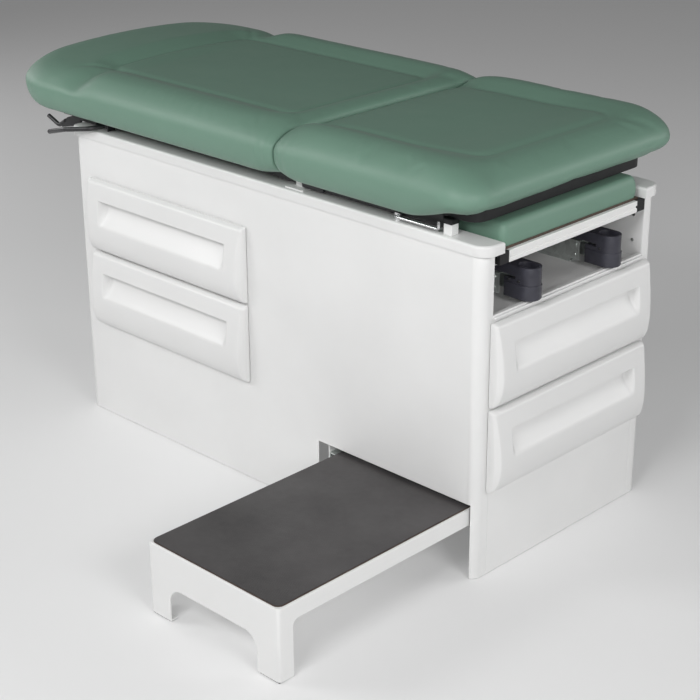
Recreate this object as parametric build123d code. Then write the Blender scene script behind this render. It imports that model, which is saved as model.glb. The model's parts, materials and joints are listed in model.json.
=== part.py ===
from build123d import *
import os
from math import cos, radians, sin

os.makedirs("parts", exist_ok=True)

# Examination couch: steel cabinet base with four drawers, a pull-out step, two pull-out heel
# stirrups, a pull-out leg rest and a two-section padded top that folds at the seat.
# Frame: +X towards the foot end, -Y towards the long side with the step, +Z up.
# Origin: on the floor under the middle of the cabinet. All lengths are millimetres.
# "near" means the -Y side and "far" the +Y side.

# ---------------------------------------------------------------- cabinet
CAB_L = 1224.0
CAB_W = 552.0
SHEET = 2.0
CORNER_R = 22.0
PANEL_Z0 = 1.0
PANEL_Z1 = 684.0
HALF_L = CAB_L / 2
HALF_W = CAB_W / 2
PILLAR = 38.0
WALL_Y = HALF_W - PILLAR
BASE_H = 20.0
BASE_W = 13.0

TRIM_H = 22.0
TRIM_W = 56.0
TRIM_OUT = 4.0
TRIM_HEAD_X = -616.0
TRIM_FOOT_X = 624.0
TRIM_CORNER_R = 32.0
TRIM_TOP = PANEL_Z1 + TRIM_H

SHELF_Z = 552.0
SHELF_X0 = 20.0
SILL_H = 8.0
PARTITION_X = -34.0
DRAWER_WALL_X = -556.0

# ---------------------------------------------------------------- drawers
FRONT_GAP = 0.5
SIDE_FRONT_X = (-552.0, -29.0)
SIDE_FRONTS_Z = {"upper_side_drawer": (425.0, 595.0), "lower_side_drawer": (241.0, 418.0)}
FOOT_FRONT_HALF = 248.0
FOOT_FRONTS_Z = {"upper_foot_drawer": (374.0, 548.0), "lower_foot_drawer": (191.0, 366.0)}
FRONT_TOP_P = 17.0
FRONT_BELLY_P = 31.0
GRIP_TOP = 48.0
GRIP_BOTTOM = 107.0
GRIP_MARGIN = 46.0
GRIP_CORNER_R = 14.0
WINDOW_EASE = 0.3
BOX_WALL = 1.5
BOX_LIFT = 14.0
BOX_DROP = 30.0
RAIL_DEPTH = 14.0
RAIL_HALF_H = 8.0
FLANGE_OUT = 10.0
SIDE_BOX_X = (-538.0, -50.0)
SIDE_BOX_DEPTH = 426.0
FOOT_BOX_HALF = 222.0
FOOT_BOX_DEPTH = 492.0

# ---------------------------------------------------------------- step
STEP_X = (235.0, 594.0)
STEP_FRONT_Y = -790.0
STEP_REAR_Y = -245.0
STEP_TOP = 156.0
STEP_SHEET = 2.5
STEP_RAIL_H = 36.0
STEP_APRON_H = 77.0
STEP_LEG_W = 58.0
STEP_FLANGE_W = 36.0
FOOT_PAD_H = 3.0
MAT_T = 3.0
MAT_INSET = 5.0
STEP_CUT_X = (178.0, 598.0)
STEP_CUT_TOP = 166.0
STEP_WALL_X = 206.0

# ---------------------------------------------------------------- top sections
PAD_BOTTOM = 743.0
PAD_TOP = 850.0
PAD_HALF_W = 340.0
PAD_HEAD_X = -810.0
PAD_FOOT_X = 625.0
HEAD_CORNER_R = 165.0
FOOT_CORNER_R = 68.0
FOLD_X = 112.0
FOLD_Z = 800.0
BOARD_Z = 740.0
BOARD_T = 8.0
BOARD_HALF_W = 255.0
TUBE_H = 28.0
TUBE_Z = BOARD_Z - TUBE_H
TUBE_W = 20.0
BACK_TUBE_Y = 224.0
SEAT_TUBE_Y = 236.0
ROLL_LENGTH = 54.0
POCKET_L = 32.0
PIN_R = 5.0
RUN_FIT = 0.05

# ---------------------------------------------------------------- back lift strut
LEVER_R = 140.0
LEVER_ANGLE = 40.0
STRUT_X = FOLD_X - LEVER_R * (1 + cos(radians(LEVER_ANGLE))) / 2
STRUT_PIN_Z = FOLD_Z - LEVER_R * sin(radians(LEVER_ANGLE))
STRUT_R = 11.0
STRUT_ROD_R = 5.0

# ---------------------------------------------------------------- leg rest
REST_FRONT_X = 618.0
REST_RAIL_T = 12.0
REST_RAIL_Z = (659.0, 683.0)
REST_RAIL_HALF = 203.0
REST_CAP_HALF = 230.0
REST_BOARD_T = 5.0
REST_HALF_W = 215.0
REST_PAD_X = (170.0, 612.0)
REST_PAD_TOP = 736.0

# ---------------------------------------------------------------- stirrups
STIRRUP_Y = 128.0
ARM_HALF = 18.0
ARM_Z = (563.0, 604.0)
ARM_X = (140.0, 548.0)
CUP_TIP_X = 632.0
CUP_HALF = 22.0
CUP_Z = (565.0, 631.0)
CUP_PIN_X = 575.0
CUP_PIN_R = 6.0


def block(x0, x1, y0, y1, z0, z1):
    """A box between two corners."""
    size = Box(x1 - x0, y1 - y0, z1 - z0)
    return Pos((x0 + x1) / 2, (y0 + y1) / 2, (z0 + z1) / 2) * size


def rod_x(y, z, r, x0, x1):
    """A cylinder along X."""
    return Pos((x0 + x1) / 2, y, z) * Rot(0, 90, 0) * Cylinder(r, x1 - x0)


def rod_y(x, z, r, y0, y1):
    """A cylinder along Y."""
    return Pos(x, (y0 + y1) / 2, z) * Rot(90, 0, 0) * Cylinder(r, y1 - y0)


def rod_z(x, y, r, z0, z1):
    """A cylinder along Z."""
    return Pos(x, y, (z0 + z1) / 2) * Cylinder(r, z1 - z0)


def across(shape):
    """The same piece on the other long side."""
    return mirror(shape, about=Plane.XZ)


def both(shape):
    """A near and a far copy as two separate solids."""
    return Compound([shape.solid(), across(shape).solid()])


def xz_plate(points, y0, y1):
    """A flat plate cut from an outline in the XZ plane, from y0 to y1."""
    face = make_face(Polyline([(x, y0, z) for x, z in points], close=True))
    return extrude(face, amount=y1 - y0, dir=(0, 1, 0))


def channel_x(x0, x1, wall_y, depth, zc, half_h, thick=2.0):
    """A C-rail along X on a wall at wall_y, opening away from it by depth (signed)."""
    tip = wall_y + depth
    back = wall_y + (thick if depth > 0 else -thick)
    web = block(x0, x1, min(wall_y, back), max(wall_y, back), zc - half_h, zc + half_h)
    low = block(x0, x1, min(wall_y, tip), max(wall_y, tip), zc - half_h, zc - half_h + thick)
    high = block(x0, x1, min(wall_y, tip), max(wall_y, tip), zc + half_h - thick, zc + half_h)
    return web + low + high


def channel_y(y0, y1, wall_x, depth, zc, half_h, thick=2.0):
    """A C-rail along Y on a wall at wall_x, opening away from it by depth (signed)."""
    tip = wall_x + depth
    back = wall_x + (thick if depth > 0 else -thick)
    web = block(min(wall_x, back), max(wall_x, back), y0, y1, zc - half_h, zc + half_h)
    low = block(min(wall_x, tip), max(wall_x, tip), y0, y1, zc - half_h, zc - half_h + thick)
    high = block(min(wall_x, tip), max(wall_x, tip), y0, y1, zc + half_h - thick, zc + half_h)
    return web + low + high


# ================================================================ cabinet shell
def cabinet_ring():
    """The bent sheet wall all round the cabinet, before it is parted into panels."""
    outer = RectangleRounded(CAB_L, CAB_W, CORNER_R)
    inner = RectangleRounded(CAB_L - 2 * SHEET, CAB_W - 2 * SHEET, CORNER_R - SHEET)
    return Pos(0, 0, PANEL_Z0) * extrude(outer - inner, amount=PANEL_Z1 - PANEL_Z0)


def drawer_openings(fronts, x0, x1, y0, y1):
    """The openings that the drawer fronts cover."""
    return [block(x0, x1, y0, y1, z0 + 6, z1 - 6) for z0, z1 in fronts.values()]


def near_side_panel():
    """The step side: corners at both ends, an opening for the step and two for drawers."""
    panel = cabinet_ring() & block(-700, 700, -300, -WALL_Y, 0, 700)
    panel -= block(STEP_CUT_X[0], STEP_CUT_X[1], -300, -260, 0, STEP_CUT_TOP)
    x0 = SIDE_BOX_X[0] - FLANGE_OUT - 2
    x1 = SIDE_BOX_X[1] + FLANGE_OUT + 2
    for opening in drawer_openings(SIDE_FRONTS_Z, x0, x1, -300, -260):
        panel -= opening
    return panel


def far_side_panel():
    """The plain long side."""
    return cabinet_ring() & block(-700, 700, WALL_Y, 300, 0, 700)


def foot_end_panel():
    """The foot end between the two corner pillars, up to the compartment's sill."""
    panel = cabinet_ring() & block(500, 700, -WALL_Y, WALL_Y, 0, SHELF_Z - SHEET)
    half = FOOT_BOX_HALF + FLANGE_OUT + 2
    for opening in drawer_openings(FOOT_FRONTS_Z, 500, 700, -half, half):
        panel -= opening
    return panel


def head_end_panel():
    """The head end between the two corner pillars."""
    return cabinet_ring() & block(-700, -500, -WALL_Y, WALL_Y, 0, 700)


def base_frame():
    """Floor frame, open on the near side where the step comes out."""
    outer = RectangleRounded(CAB_L - 2 * SHEET, CAB_W - 2 * SHEET, CORNER_R - SHEET)
    inner = Rectangle(CAB_L - 2 * SHEET - 2 * BASE_W, CAB_W - 2 * SHEET - 2 * BASE_W)
    ring = extrude(outer - inner, amount=BASE_H)
    return ring - block(STEP_CUT_X[0] - 8, HALF_L - SHEET - BASE_W, -300, -200, -5, 50)


def near_trim():
    """Moulded cap on the near wall, with a large rounded corner at the foot end."""
    y0 = -HALF_W - TRIM_OUT
    trim = block(TRIM_HEAD_X, TRIM_FOOT_X, y0, y0 + TRIM_W, PANEL_Z1, TRIM_TOP)
    posts = trim.edges().filter_by(Axis.Z).sort_by(Axis.Y)
    outer = posts[:2].sort_by(Axis.X)
    trim = fillet(outer[1], TRIM_CORNER_R)
    outer = trim.edges().filter_by(Axis.Z).filter_by(lambda e: e.center().X < 0)
    trim = fillet(outer.sort_by(Axis.Y)[0], 14.0)
    return fillet(trim.faces().sort_by(Axis.Z)[-1].edges(), 5.0)


def inner_wall():
    """Inner skin of the near pillar wall, beside the foot drawers and the compartment."""
    return block(SHELF_X0, HALF_L - SHEET, -WALL_Y - SHEET, -WALL_Y, 170, PANEL_Z1)


def compartment_shelf():
    """Floor of the open compartment, with a stepped sill along its front."""
    shelf = block(SHELF_X0, HALF_L, -WALL_Y, WALL_Y, SHELF_Z - SHEET, SHELF_Z)
    sill = block(HALF_L - 10, HALF_L + 5, -WALL_Y, WALL_Y, SHELF_Z, SHELF_Z + SILL_H - 3)
    crest = block(HALF_L - 10, HALF_L, -WALL_Y, WALL_Y, SHELF_Z, SHELF_Z + SILL_H)
    return shelf + sill + crest


def bay_partition():
    """Cross wall between the side-drawer bay and the foot-drawer bay."""
    edge = HALF_W - SHEET
    return block(PARTITION_X, PARTITION_X + SHEET, -edge, edge, BASE_H, PANEL_Z1)


def drawer_bay_wall():
    """Wall that carries the head-side rails of the side drawers."""
    return block(DRAWER_WALL_X, DRAWER_WALL_X + SHEET, -HALF_W + SHEET, 200, 230, 600)


def step_bay_wall():
    """Wall at the head side of the step's bay."""
    edge = HALF_W - SHEET
    return block(STEP_WALL_X, STEP_WALL_X + SHEET, -edge, edge - BASE_W, PANEL_Z0, 170)


def back_bumper():
    """Rubber block on the near trim that the back section comes down on."""
    return block(-580, -548, -242, -226, TRIM_TOP, TUBE_Z)


def seat_post():
    """Square post on the near trim under the foot end of the seat."""
    return block(512, 532, -270, -250, TRIM_TOP, 728)


def seat_post_cap():
    """Black cap on the post."""
    cap = block(510.5, 533.5, -271.5, -248.5, 728, 739.5)
    return chamfer(cap.faces().sort_by(Axis.Z)[-1].edges(), 2.0)


def cabinet_screws():
    """Pan-head screws of the head end panel and of the far pillar."""
    heads = []
    for y in (-200.0, 200.0):
        for z in (80.0, 340.0, 600.0):
            heads.append(rod_x(y, z, 4.5, -HALF_L - 2.2, -HALF_L).solid())
    for z in (585.0, 640.0):
        heads.append(rod_y(588, z, 3.5, WALL_Y - 1.8, WALL_Y).solid())
    return Compound(heads)


# ================================================================ drawers
def front_outline(height):
    """Side outline of a drawer front: thin at the top, with a belly low down."""
    belly = 0.28 * height
    back = Polyline([(0, 0, 0), (0, 0, height), (0, -FRONT_TOP_P + 3, height)])
    lip = ThreePointArc((0, -FRONT_TOP_P + 3, height), (0, -FRONT_TOP_P + 0.9, height - 0.9),
                        (0, -FRONT_TOP_P, height - 3))
    face = ThreePointArc((0, -FRONT_TOP_P, height - 3), (0, -25.8, 0.64 * height),
                         (0, -FRONT_BELLY_P, belly))
    under = ThreePointArc((0, -FRONT_BELLY_P, belly), (0, -25.5, 0.09 * height), (0, -9, 0))
    foot = Line((0, -9, 0), (0, 0, 0))
    return make_face([back, lip, face, under, foot])


def grip_outline(height):
    """Side outline of the finger recess: undercut at its top, sloping out at its foot."""
    top = height - GRIP_TOP
    low = height - GRIP_BOTTOM
    roof = Polyline([(0, -9, top - 20), (0, -5, top - 12), (0, -5, top + 9), (0, -13, top + 9),
                     (0, -15, top), (0, -60, top), (0, -60, low), (0, -29.5, low)])
    slope = ThreePointArc((0, -29.5, low), (0, -17.5, low + 11), (0, -9, top - 20))
    return make_face([roof, slope])


def drawer_front(width, height):
    """Moulded front, centred on X, its back face on y = 0 and its foot on z = 0."""
    body = extrude(front_outline(height), amount=width / 2, dir=(1, 0, 0), both=True)
    half = width / 2
    plan = Polyline([(-half, 0), (half, 0), (half, -8), (half - 9, -40), (9 - half, -40),
                     (-half, -8)], close=True)
    body &= extrude(make_face(plan), amount=height)
    grip = extrude(grip_outline(height), amount=half - GRIP_MARGIN, dir=(1, 0, 0), both=True)
    window_h = GRIP_BOTTOM - GRIP_TOP + 40
    window = RectangleRounded(width - 2 * GRIP_MARGIN - 2 * WINDOW_EASE, window_h, GRIP_CORNER_R)
    middle = height - GRIP_BOTTOM + window_h / 2 - WINDOW_EASE
    mask = Pos(0, 0, middle) * Rot(90, 0, 0) * extrude(window, amount=60, both=True)
    return body - (grip & mask)


def drawer_box(width, depth, height):
    """Folded steel box, open at the top, with a running flange along each side."""
    half = width / 2
    box = block(-half, half, 0, depth, 0, height)
    box -= block(BOX_WALL - half, half - BOX_WALL, BOX_WALL, depth - BOX_WALL, BOX_WALL, 500)
    middle = height / 2
    for side in (-1, 1):
        edges = sorted((side * half, side * (half + FLANGE_OUT)))
        low = middle - RAIL_HALF_H + 2.5
        box += block(edges[0], edges[1], 12, depth, low, low + 3)
    return box


def place_side(shape, x, z):
    """Put a drawer piece on the near side."""
    return Pos(x, -HALF_W - FRONT_GAP, z) * shape


def place_foot(shape, z):
    """Turn a drawer piece to face the foot end."""
    return Pos(HALF_L + FRONT_GAP, 0, z) * Rot(0, 0, 90) * shape


def box_height(front_z):
    return front_z[1] - front_z[0] - BOX_LIFT - BOX_DROP


def rail_height(front_z):
    return front_z[0] + BOX_LIFT + box_height(front_z) / 2


def side_drawer_rails():
    """C-rails fixed to the two walls of the side-drawer bay."""
    rails = []
    for front_z in SIDE_FRONTS_Z.values():
        zc = rail_height(front_z)
        y0 = -HALF_W + SHEET
        wall = DRAWER_WALL_X + SHEET
        rails.append(channel_y(y0, 170, wall, RAIL_DEPTH, zc, RAIL_HALF_H).solid())
        rails.append(channel_y(y0, 170, PARTITION_X, -RAIL_DEPTH, zc, RAIL_HALF_H).solid())
    return Compound(rails)


def foot_drawer_rails():
    """C-rails fixed to the inner walls beside the foot drawers."""
    rails = []
    for front_z in FOOT_FRONTS_Z.values():
        zc = rail_height(front_z)
        rail = channel_x(110, HALF_L - SHEET, -WALL_Y, RAIL_DEPTH, zc, RAIL_HALF_H)
        rails.append(rail.solid())
        rails.append(across(rail).solid())
    return Compound(rails)


# ================================================================ step
def step_shell():
    """Folded sheet step: tread, side rails, front apron and two front legs."""
    x0, x1 = STEP_X
    shell = block(x0, x1, STEP_FRONT_Y, STEP_REAR_Y, FOOT_PAD_H, STEP_TOP)
    shell = fillet(shell.edges().filter_by(Axis.Z).group_by(Axis.Y)[0], 7.0)
    shell = fillet(shell.faces().sort_by(Axis.Z)[-1].edges(), 3.0)
    t = STEP_SHEET
    shell -= block(x0 + t, x1 - t, STEP_FRONT_Y + t, STEP_REAR_Y - t, -5, STEP_TOP - t)
    side_y = STEP_FRONT_Y + STEP_FLANGE_W
    side_z = STEP_TOP - STEP_RAIL_H
    window = block(x0 - 5, x1 + 5, side_y, STEP_REAR_Y + 5, -60, side_z)
    corner = window.edges().filter_by(Axis.X).sort_by(lambda e: e.center().Y - e.center().Z)[0]
    shell -= fillet(corner, 14.0)
    apron_z = STEP_TOP - STEP_APRON_H
    x_in = (x0 + STEP_LEG_W, x1 - STEP_LEG_W)
    arch = block(x_in[0], x_in[1], STEP_FRONT_Y - 5, STEP_FRONT_Y + 30, -90, apron_z)
    tops = arch.edges().filter_by(Axis.Y).group_by(Axis.Z)[-1]
    shell -= fillet(tops, 34.0)
    for a, b in ((x0 + t, x0 + STEP_LEG_W), (x1 - STEP_LEG_W, x1 - t)):
        shell += block(a, b, STEP_FRONT_Y + t, STEP_FRONT_Y + 16, FOOT_PAD_H, FOOT_PAD_H + t)
    return shell


def step_feet():
    """Plastic floor glides under the legs and two side glides that run in the step rails."""
    feet = []
    x0, x1 = STEP_X
    for a, b in ((x0 + 3, x0 + STEP_LEG_W - 3), (x1 - STEP_LEG_W + 3, x1 - 3)):
        feet.append(block(a, b, STEP_FRONT_Y + 2, STEP_FRONT_Y + 15, 0, FOOT_PAD_H).solid())
    feet.append(block(x0 - 16, x0, STEP_REAR_Y - 14, STEP_REAR_Y, 126, 146).solid())
    feet.append(block(x1, x1 + 10, STEP_REAR_Y - 14, STEP_REAR_Y, 126, 146).solid())
    return Compound(feet)


def step_mat():
    """Ribbed rubber mat on the tread."""
    i = MAT_INSET
    mat = block(STEP_X[0] + i, STEP_X[1] - i, STEP_FRONT_Y + i, STEP_REAR_Y - i,
                STEP_TOP, STEP_TOP + MAT_T)
    return fillet(mat.edges().filter_by(Axis.Z), 13.0)


def step_rails():
    """C-rails that carry the rear of the step inside the cabinet."""
    y0 = -HALF_W + SHEET
    left = channel_y(y0, 266, STEP_WALL_X + SHEET, 25, 136, 13, 2.5)
    right = channel_y(y0, -y0, HALF_L - SHEET, -13, 136, 13, 2.0)
    inside = RectangleRounded(CAB_L - 2 * SHEET, CAB_W - 2 * SHEET, CORNER_R - SHEET)
    right &= extrude(inside, amount=PANEL_Z1)
    return Compound([left.solid(), right.solid()])


# ================================================================ folding top
def full_pad(x0, x1, round_x, corner_r):
    """A padded slab whose corners at one end (round_x) are rounded in plan."""
    pad = block(x0, x1, -PAD_HALF_W, PAD_HALF_W, PAD_BOTTOM, PAD_TOP)
    posts = pad.edges().filter_by(Axis.Z).filter_by(lambda e: abs(e.center().X - round_x) < 1)
    pad = fillet(posts, corner_r)
    fold = x0 if round_x == x1 else x1
    for side, radius in ((-1, 40.0), (0, 30.0)):
        face = pad.faces().filter_by(Plane.XY).sort_by(Axis.Z)[side]
        rim = face.edges().filter_by(lambda e: abs(e.center().X - fold) > 1)
        pad = fillet(rim, radius)
    return pad


def hinge_pockets(x0, x1):
    """Slots in the pads for the hinge arms at the fold."""
    near = block(x0, x1, -266, -238, 700, FOLD_Z + 16)
    return near + across(near)


def back_upholstery():
    """The whole back pad, with a pocket for its board."""
    pad = full_pad(PAD_HEAD_X, FOLD_X - 0.5, PAD_HEAD_X, HEAD_CORNER_R)
    pad -= block(-700, 84, -BOARD_HALF_W, BOARD_HALF_W, 700, BOARD_Z + BOARD_T)
    return pad - hinge_pockets(FOLD_X - POCKET_L, FOLD_X + 1)


def fold_zone():
    """The space above the hinge that the fold roll fills."""
    return block(FOLD_X - ROLL_LENGTH, FOLD_X + 1, -400, 400, FOLD_Z + 16, 900) + block(
        FOLD_X - ROLL_LENGTH, FOLD_X + 1, -400, 400, FOLD_Z - 1, FOLD_Z + 16)


def back_pad():
    """Back pad without its compressible end."""
    return back_upholstery() - fold_zone()


def back_fold_roll():
    """Soft foam roll along the fold, which squeezes when the back comes up."""
    return back_upholstery() & fold_zone()


def seat_pad():
    """Seat pad with a pocket for its board."""
    pad = full_pad(FOLD_X + 0.5, PAD_FOOT_X, PAD_FOOT_X, FOOT_CORNER_R)
    pad -= block(134, 560, -BOARD_HALF_W, BOARD_HALF_W, 700, BOARD_Z + BOARD_T)
    return pad - hinge_pockets(FOLD_X - 1, FOLD_X + POCKET_L)


def back_board():
    """Plywood board under the back pad."""
    board = block(-700, 84, -BOARD_HALF_W, BOARD_HALF_W, BOARD_Z, BOARD_Z + BOARD_T)
    return board - hinge_pockets(70, 90)


def seat_board():
    """Plywood board under the seat pad."""
    board = block(134, 560, -BOARD_HALF_W, BOARD_HALF_W, BOARD_Z, BOARD_Z + BOARD_T)
    return board - hinge_pockets(130, 146)


def tube_x(x0, x1, y0):
    """Rectangular tube along X, open at its ends."""
    tube = block(x0, x1, y0, y0 + TUBE_W, TUBE_Z, BOARD_Z)
    return tube - block(x0, x1, y0 + 2, y0 + TUBE_W - 2, TUBE_Z + 2, BOARD_Z - 2)


def cross_tube(x0, half_w):
    """Rectangular tube across the couch between the two side tubes."""
    tube = block(x0, x0 + TUBE_W, -half_w, half_w, TUBE_Z, BOARD_Z)
    return tube - block(x0 + 2, x0 + TUBE_W - 2, -half_w, half_w, TUBE_Z + 2, BOARD_Z - 2)


def hinge_arm(points, y0, y1):
    """Flat arm from a frame tube up to the fold pin, with a running bore."""
    arm = xz_plate(points, y0, y1) + rod_y(FOLD_X, FOLD_Z, 12, y0, y1)
    return arm - rod_y(FOLD_X, FOLD_Z, PIN_R + RUN_FIT, y0 - 1, y1 + 1)


def back_frame():
    """Tube frame of the back, with its two hinge arms and the handle's pivot stub."""
    y_tube = -BACK_TUBE_Y - TUBE_W
    side = tube_x(-690, 94, y_tube)
    arm = hinge_arm([(40, TUBE_Z), (100, TUBE_Z), (124, FOLD_Z), (100, FOLD_Z), (84, BOARD_Z),
                     (40, BOARD_Z)], y_tube - 4, y_tube)
    half = side + arm
    frame = half + across(half)
    for x in (-690, -330, 34):
        frame += cross_tube(x, BACK_TUBE_Y)
    lug = block(-503, -499, y_tube - 20, y_tube, 708, 726)
    stub = rod_x(y_tube - 12, 717, 4, -530, -499)
    return frame + lug + stub


def seat_frame():
    """Tube frame of the seat, with its two hinge arms."""
    y_tube = -SEAT_TUBE_Y - TUBE_W
    side = tube_x(134, 500, y_tube)
    arm = hinge_arm([(124, TUBE_Z), (184, TUBE_Z), (184, BOARD_Z), (140, BOARD_Z),
                     (124, FOLD_Z), (100, FOLD_Z)], y_tube - 4, y_tube)
    half = side + arm
    return half + across(half) + cross_tube(134, SEAT_TUBE_Y)


def hinge_bracket():
    """Bracket on the near trim that holds the fold pin between the two arms."""
    plate = block(FOLD_X - 12, FOLD_X + 12, -254, -250, TRIM_TOP, FOLD_Z)
    plate += rod_y(FOLD_X, FOLD_Z, 12, -254, -250)
    foot = block(FOLD_X - 26, FOLD_X + 26, -272, -250, TRIM_TOP, TRIM_TOP + 3)
    return plate + foot - rod_y(FOLD_X, FOLD_Z, PIN_R, -260, -245)


def hinge_pin():
    """Fixed pin through the bracket, on which both arms turn."""
    return rod_y(FOLD_X, FOLD_Z, PIN_R, -262, -242)


def paper_hook():
    """Flat hook at the head end that carries one end of the paper roll."""
    shank = xz_plate([(-560, 709), (-560, 724), (-622, 724), (-668, 708), (-696, 690),
                      (-692, 680), (-640, 692), (-620, 694), (-620, 709)], -250, -244)
    path = FilletPolyline((-680, -247, 697), (-706, -247, 681), (-746, -247, 697), radius=14)
    nose = Plane(origin=path @ 0, z_dir=path % 0)
    curl = sweep(nose * Circle(5.0), path)
    return shank + curl


def release_handle():
    """Bent bar that unlocks the back; it turns on the stub of the back frame."""
    axis_y = -BACK_TUBE_Y - TUBE_W - 12
    hub = rod_x(axis_y, 717, 7, -528, -506) - rod_x(axis_y, 717, 4 + RUN_FIT, -540, -490)
    path = FilletPolyline((-517, axis_y - 5, 717), (-532, -292, 714), (-610, -302, 700),
                          (-690, -288, 677), radius=24)
    nose = Plane(origin=path @ 0, z_dir=path % 0)
    bar = sweep(nose * Circle(5.5), path)
    return hub + bar - rod_x(axis_y, 717, 4 + RUN_FIT, -540, -490)


def lift_bracket():
    """Fork under the back frame; the strut's cross pin moves in its windows."""
    x0, x1, z0, z1 = STRUT_X - 14.5, 34.0, STRUT_PIN_Z - 30, BOARD_Z
    plate = block(x0, x1, -14, -10, z0, z1)
    plate -= block(x0 + 8.5, x1 - 10, -20, -5, z0 + 8, z1 - 13)
    bridge = block(x1 - 6, x1, -10, 10, z1 - 12, z1)
    return plate + across(plate) + bridge


def strut_cylinder():
    """Lower tube of the gas strut, with a guide bush at its mouth."""
    tube = rod_z(STRUT_X, 0, STRUT_R, 180, 545)
    tube -= rod_z(STRUT_X, 0, STRUT_R - 2.5, 190, 533)
    return tube - rod_z(STRUT_X, 0, STRUT_ROD_R + RUN_FIT, 530, 550)


def strut_bracket():
    """Saddle that clamps the strut to the partition."""
    saddle = block(PARTITION_X + SHEET, STRUT_X + 6, -16, 16, 240, 300)
    saddle += block(PARTITION_X + SHEET, STRUT_X + 6, -16, 16, 440, 500)
    saddle += block(PARTITION_X + SHEET, PARTITION_X + SHEET + 3, -16, 16, 300, 440)
    return saddle - rod_z(STRUT_X, 0, STRUT_R, 100, 600)


def strut_rod():
    """Piston rod with a cross pin at its top."""
    rod = rod_z(STRUT_X, 0, STRUT_ROD_R, 330, STRUT_PIN_Z)
    rod += rod_z(STRUT_X, 0, STRUT_R - 3, 330, 344)
    rod += rod_y(STRUT_X, STRUT_PIN_Z, 7, -8, 8)
    return rod + rod_y(STRUT_X, STRUT_PIN_Z, 4, -19, 19)


def prop_rod_bracket():
    """Small bearing block on the near trim for the seat's prop rod."""
    body = block(385, 399, -267, -260, TRIM_TOP, TRIM_TOP + 14)
    return body - rod_y(392, TRIM_TOP + 8, 3 + RUN_FIT, -275, -250)


def near_prop_rod():
    """Bent wire that swings up with the seat and props its foot end."""
    z = TRIM_TOP + 8
    path = FilletPolyline((392, -258, z), (392, -273, z), (503, -273, z), (503, -273, z + 16),
                          radius=5)
    nose = Plane(origin=path @ 0, z_dir=path % 0)
    return sweep(nose * Circle(3.0), path)


# ================================================================ leg rest
def leg_rest_rail():
    """Front rail with a shallow groove along its face."""
    x0 = REST_FRONT_X - REST_RAIL_T
    z0, z1 = REST_RAIL_Z
    rail = block(x0, REST_FRONT_X, -REST_RAIL_HALF, REST_RAIL_HALF, z0, z1)
    rail -= block(REST_FRONT_X - 2.5, REST_FRONT_X + 1, -300, 300, z0 + 9, z0 + 14)
    lip = block(x0 - 10, REST_FRONT_X, -REST_RAIL_HALF, REST_RAIL_HALF, z1 - 2, z1)
    return rail + lip


def leg_rest_caps():
    """Plastic end caps of the front rail."""
    z0, z1 = REST_RAIL_Z
    x0 = REST_FRONT_X - REST_RAIL_T
    cap = block(x0, REST_FRONT_X - 1, -REST_CAP_HALF, -REST_RAIL_HALF, z0, z1)
    cap = fillet(cap.edges().filter_by(Axis.X), 2.0)
    return both(cap)


def leg_rest_board():
    """Board that carries the leg pad."""
    z1 = REST_RAIL_Z[1]
    return block(100, 610, -REST_HALF_W, REST_HALF_W, z1, z1 + REST_BOARD_T)


def leg_rest_pad():
    """Boxed leg cushion."""
    z0 = REST_RAIL_Z[1] + REST_BOARD_T
    pad = block(REST_PAD_X[0], REST_PAD_X[1], -REST_HALF_W, REST_HALF_W, z0, REST_PAD_TOP)
    pad = fillet(pad.edges().filter_by(Axis.Z), 14.0)
    return fillet(pad.faces().sort_by(Axis.Z)[-1].edges(), 9.0)


def leg_rest_runner():
    """Angle under the board whose foot runs in the guide."""
    z1 = REST_RAIL_Z[1]
    web = block(100, REST_FRONT_X - REST_RAIL_T - 10.5, -209, -206, 658.5, z1)
    foot = block(100, 600, -230, -206, 658.5, 661.5)
    return web + foot


def leg_rest_guide():
    """C-rail on the inner wall."""
    return channel_x(60, 603, -WALL_Y, 25, 667, 12, 3.0)


# ================================================================ stirrups
def stirrup_track():
    """Fixed channel on the shelf inside the near stirrup arm."""
    y = -STIRRUP_Y
    outer = block(60, 520, y - 12, y + 12, SHELF_Z, 596)
    return outer - block(60, 520, y - 10, y + 10, SHELF_Z + 2, 594)


def stirrup_arm():
    """Sheet channel over the track, with the tongue and pin of the heel cup at its end."""
    y = -STIRRUP_Y
    x0, x1 = ARM_X
    z0, z1 = ARM_Z
    arm = block(x0, x1, y - ARM_HALF, y + ARM_HALF, z0, z1)
    arm -= block(x0, x1, y - ARM_HALF + 2.5, y + ARM_HALF - 2.5, z0, z1 - 2.5)
    for side in (-1, 1):
        face = y + side * ARM_HALF
        ends = sorted((face, face + side * 2.0))
        for z in (z0 + 10, z1 - 10):
            arm += rod_y(x1 - 12, z, 4.5, ends[0], ends[1])
    tongue = block(x1 - 20, CUP_PIN_X, y - 12, y + 12, z1, z1 + 4)
    tongue += rod_z(CUP_PIN_X, y, 12, z1, z1 + 4)
    return arm + tongue + rod_z(CUP_PIN_X, y, CUP_PIN_R, z0 + 8, z1 + 2)


def heel_cup():
    """Moulded heel cup: a rounded block with an open cavity and a tail over the arm."""
    y = -STIRRUP_Y
    z0, z1 = CUP_Z
    nose_x = CUP_TIP_X - CUP_HALF
    cup = block(564, nose_x, y - CUP_HALF, y + CUP_HALF, z0, z1)
    cup += rod_z(nose_x, y, CUP_HALF, z0, z1)
    tail = xz_plate([(484, z1), (566, z1), (566, 610), (505, 610)], y - CUP_HALF, y + CUP_HALF)
    cup += tail
    cup -= block(470, 591, y - 30, y + 30, 603.5, 610)
    cavity = Pos(nose_x - 4, y, 0) * extrude(SlotOverall(42, 30), amount=100)
    cup -= Pos(0, 0, 592) * cavity
    cup -= rod_z(CUP_PIN_X, y, CUP_PIN_R + RUN_FIT, z0 + 6, 604)
    ridge = block(566, nose_x, y - CUP_HALF - 1.2, y - CUP_HALF, 592, 594)
    return cup + ridge


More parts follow.
